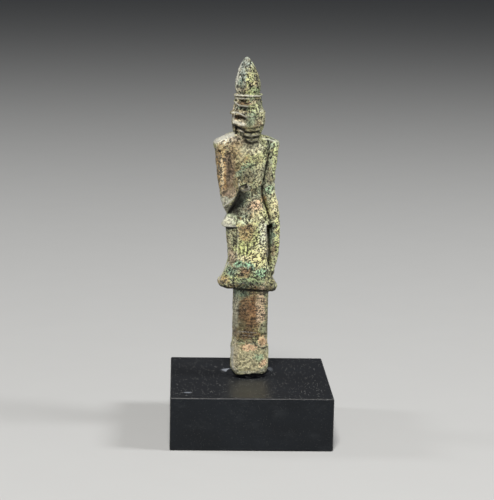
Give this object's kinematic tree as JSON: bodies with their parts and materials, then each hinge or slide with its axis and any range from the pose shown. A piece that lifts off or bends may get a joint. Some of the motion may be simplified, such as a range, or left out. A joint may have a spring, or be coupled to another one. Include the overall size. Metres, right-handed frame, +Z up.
{
  "type": "votive figure on display block",
  "caption": "Small cast bronze votive figure with a tall horned cap, tiered beard, long skirt and flat tang, green and brown patina, held upright by a wax bead on a square black block",
  "frame": {"origin": "The middle of the display block's underside", "axes": "+Z up; the figure faces -Y, turned 11 degrees towards +X; +X is the viewer's right"},
  "size_m": [0.06, 0.06, 0.141],
  "materials": {
    "patinated_bronze": "matte green, ochre and brown patina crust",
    "black_wax": "glossy",
    "black_paint": "satin black"
  },
  "bodies": {
    "root": {"bronze_figure": "patinated_bronze", "mounting_bead": "black_wax", "display_block": "black_paint"}
  },
  "joints": []
}
